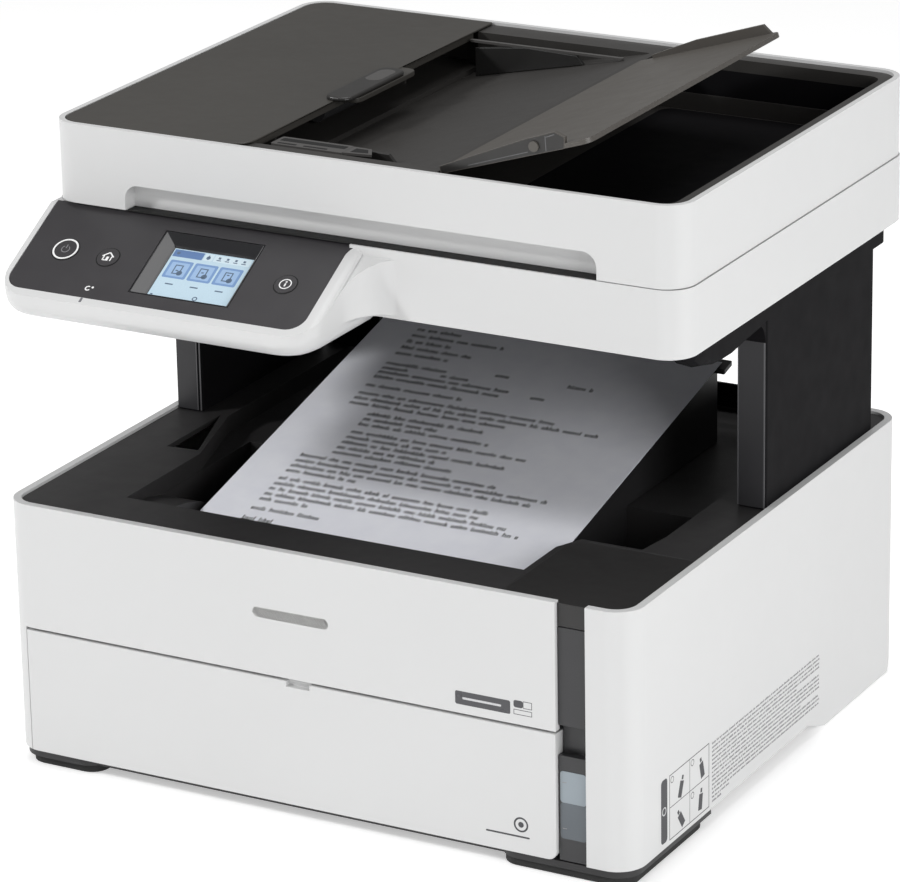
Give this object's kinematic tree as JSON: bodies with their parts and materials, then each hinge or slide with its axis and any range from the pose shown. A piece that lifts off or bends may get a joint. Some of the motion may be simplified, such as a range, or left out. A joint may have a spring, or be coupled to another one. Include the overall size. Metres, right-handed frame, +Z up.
{
  "type": "inkjet printer",
  "caption": "Ink-tank multifunction printer with a paper cassette, raised output bay, tilted control panel, flatbed scanner and hinged document feeder.",
  "frame": {"origin": "on the floor, under the middle of the printer's plan", "axes": "+Z up, -Y the front with the control panel, +X the printer's right side seen from the front"},
  "size_m": [0.375, 0.3412, 0.3755],
  "materials": {
    "white_shell": "satin, fine grain",
    "dark_shell": "fine texture",
    "feeder_cover": "fine texture, satin",
    "panel_face": "satin",
    "grey_plastic": "satin",
    "frame_steel": "zinc plated sheet",
    "roller_rubber": "ground",
    "foot_rubber": "matte",
    "tank_plastic": "translucent",
    "screen_glass": "glossy, lit",
    "platen_glass": "polished",
    "foam": "sheet-faced foam",
    "circuit_board": "solder mask",
    "gear_plastic": "acetal",
    "paper": "uncoated"
  },
  "bodies": {
    "base": {"base_pan": "dark_shell", "front_panel": "white_shell", "right_side_panel": "white_shell", "rear_panel": "white_shell", "inner_frame": "dark_shell", "top_deck": "dark_shell", "output_tray": "dark_shell", "left_column": "dark_shell", "right_column": "dark_shell", "mid_frame": "dark_shell", "ink_strip": "grey_plastic", "ink_tank": "tank_plastic", "front_left_foot": "foot_rubber", "front_right_foot": "foot_rubber", "rear_left_foot": "foot_rubber", "rear_right_foot": "foot_rubber", "carriage_rail": "frame_steel", "carriage_belt": "roller_rubber", "carriage_motor": "frame_steel", "platen": "dark_shell", "cap_station": "grey_plastic", "feed_motor": "frame_steel", "main_board": "circuit_board", "power_supply": "grey_plastic", "ac_inlet": "dark_shell", "port_block": "frame_steel", "maintenance_box": "grey_plastic"},
    "cassette": {"cassette_tray": "dark_shell", "cassette_front": "white_shell"},
    "left_paper_guide": {"cassette_left_guide": "grey_plastic"},
    "right_paper_guide": {"cassette_right_guide": "grey_plastic"},
    "rear_paper_guide": {"cassette_rear_guide": "grey_plastic"},
    "ink_door": {"ink_cover": "dark_shell"},
    "filler_cap": {"ink_cap": "grey_plastic"},
    "print_carriage": {"carriage": "grey_plastic", "print_head": "frame_steel"},
    "feed_shaft": {"feed_roller": "roller_rubber"},
    "eject_shaft": {"eject_roller": "roller_rubber"},
    "idler": {"idler_gear": "gear_plastic"},
    "pickup_shaft": {"pickup_roller": "roller_rubber"},
    "rear_door": {"rear_cover": "dark_shell"},
    "sheet": {"printed_sheet": "paper"},
    "scanner": {"scanner_housing": "white_shell", "scanner_pan": "dark_shell", "scanner_glass": "platen_glass", "control_panel": "panel_face", "touch_screen": "screen_glass", "scan_rail": "frame_steel"},
    "power_key": {"power_button": "panel_face"},
    "home_key": {"home_button": "panel_face"},
    "help_key": {"help_button": "panel_face"},
    "scan_head": {"scan_bar": "dark_shell"},
    "lid": {"lid_frame": "white_shell", "adf_base": "dark_shell", "backing_pad": "foam"},
    "feeder_door": {"adf_cover": "feeder_cover"},
    "paper_support": {"adf_flap": "feeder_cover"},
    "front_feeder_guide": {"front_edge_guide": "grey_plastic"},
    "rear_feeder_guide": {"rear_edge_guide": "grey_plastic"},
    "feeder_shaft": {"adf_roller": "roller_rubber"}
  },
  "joints": [
    {"name": "scanner_hinge", "type": "hinge", "parent": "base", "child": "scanner", "pos_m": [0, 0.1706, 0.26555], "axis": [-1, 0, 0], "range_deg": [0, 35]},
    {"name": "lid_hinge", "type": "hinge", "parent": "scanner", "child": "lid", "pos_m": [0, 0.1706, 0.30265], "axis": [-1, 0, 0], "range_deg": [0, 80]},
    {"name": "feeder_cover_hinge", "type": "hinge", "parent": "lid", "child": "feeder_door", "pos_m": [-0.1829, 0.03, 0.3466], "axis": [0, -1, 0], "range_deg": [0, 75]},
    {"name": "paper_support_hinge", "type": "hinge", "parent": "lid", "child": "paper_support", "pos_m": [0.042, 0.03, 0.3456], "axis": [0, 1, 0], "range_deg": [0, 17.3]},
    {"name": "front_feeder_guide_slide", "type": "slide", "parent": "lid", "child": "front_feeder_guide", "axis": [0, 1, 0], "range_m": [0, 0.05]},
    {"name": "rear_feeder_guide_slide", "type": "slide", "parent": "lid", "child": "rear_feeder_guide", "axis": [0, 1, 0], "range_m": [-0.05, 0]},
    {"name": "feeder_roller_spin", "type": "hinge", "parent": "lid", "child": "feeder_shaft", "pos_m": [-0.092, 0.03, 0.332], "axis": [0, 1, 0], "continuous": true},
    {"name": "power_press", "type": "slide", "parent": "scanner", "child": "power_key", "axis": [0, 0.4879, -0.8729], "range_m": [0, 0.0008], "stiffness_N_per_m": 400},
    {"name": "home_press", "type": "slide", "parent": "scanner", "child": "home_key", "axis": [0, 0.4879, -0.8729], "range_m": [0, 0.0008], "stiffness_N_per_m": 400},
    {"name": "help_press", "type": "slide", "parent": "scanner", "child": "help_key", "axis": [0, 0.4879, -0.8729], "range_m": [0, 0.0008], "stiffness_N_per_m": 400},
    {"name": "scan_head_slide", "type": "slide", "parent": "scanner", "child": "scan_head", "axis": [1, 0, 0], "range_m": [0, 0.3]},
    {"name": "cassette_slide", "type": "slide", "parent": "base", "child": "cassette", "axis": [0, -1, 0], "range_m": [0, 0.25]},
    {"name": "left_paper_guide_slide", "type": "slide", "parent": "cassette", "child": "left_paper_guide", "axis": [1, 0, 0], "range_m": [0, 0.05]},
    {"name": "right_paper_guide_slide", "type": "slide", "parent": "cassette", "child": "right_paper_guide", "axis": [1, 0, 0], "range_m": [-0.05, 0]},
    {"name": "rear_paper_guide_slide", "type": "slide", "parent": "cassette", "child": "rear_paper_guide", "axis": [0, -1, 0], "range_m": [0, 0.08]},
    {"name": "ink_cover_hinge", "type": "hinge", "parent": "base", "child": "ink_door", "pos_m": [0.165, -0.086, 0.1506], "axis": [-1, 0, 0], "range_deg": [0, 100]},
    {"name": "ink_cap_hinge", "type": "hinge", "parent": "base", "child": "filler_cap", "pos_m": [0.165, -0.1105, 0.102], "axis": [-1, 0, 0], "range_deg": [0, 100]},
    {"name": "carriage_slide", "type": "slide", "parent": "base", "child": "print_carriage", "axis": [-1, 0, 0], "range_m": [0, 0.23]},
    {"name": "feed_roller_spin", "type": "hinge", "parent": "base", "child": "feed_shaft", "pos_m": [0, 0.072, 0.09], "axis": [1, 0, 0], "continuous": true},
    {"name": "eject_roller_spin", "type": "hinge", "parent": "base", "child": "eject_shaft", "pos_m": [0, 0.014, 0.09], "axis": [1, 0, 0], "continuous": true},
    {"name": "idler_gear_spin", "type": "hinge", "parent": "base", "child": "idler", "pos_m": [-0.133, 0.043, 0.09], "axis": [1, 0, 0], "continuous": true},
    {"name": "pickup_roller_spin", "type": "hinge", "parent": "base", "child": "pickup_shaft", "pos_m": [0, 0.116, 0.074], "axis": [1, 0, 0], "continuous": true},
    {"name": "rear_cover_slide", "type": "slide", "parent": "base", "child": "rear_door", "axis": [0, 1, 0], "range_m": [0, 0.06]},
    {"name": "sheet_slide", "type": "slide", "parent": "base", "child": "sheet", "axis": [0, 0.9728, 0.2317], "range_m": [0, 0.15]}
  ],
  "couplings": [
    {"joint": "rear_feeder_guide_slide", "follows": "front_feeder_guide_slide", "ratio": -1},
    {"joint": "right_paper_guide_slide", "follows": "left_paper_guide_slide", "ratio": -1},
    {"joint": "eject_roller_spin", "follows": "feed_roller_spin", "ratio": 1},
    {"joint": "idler_gear_spin", "follows": "feed_roller_spin", "ratio": -0.70588}
  ]
}
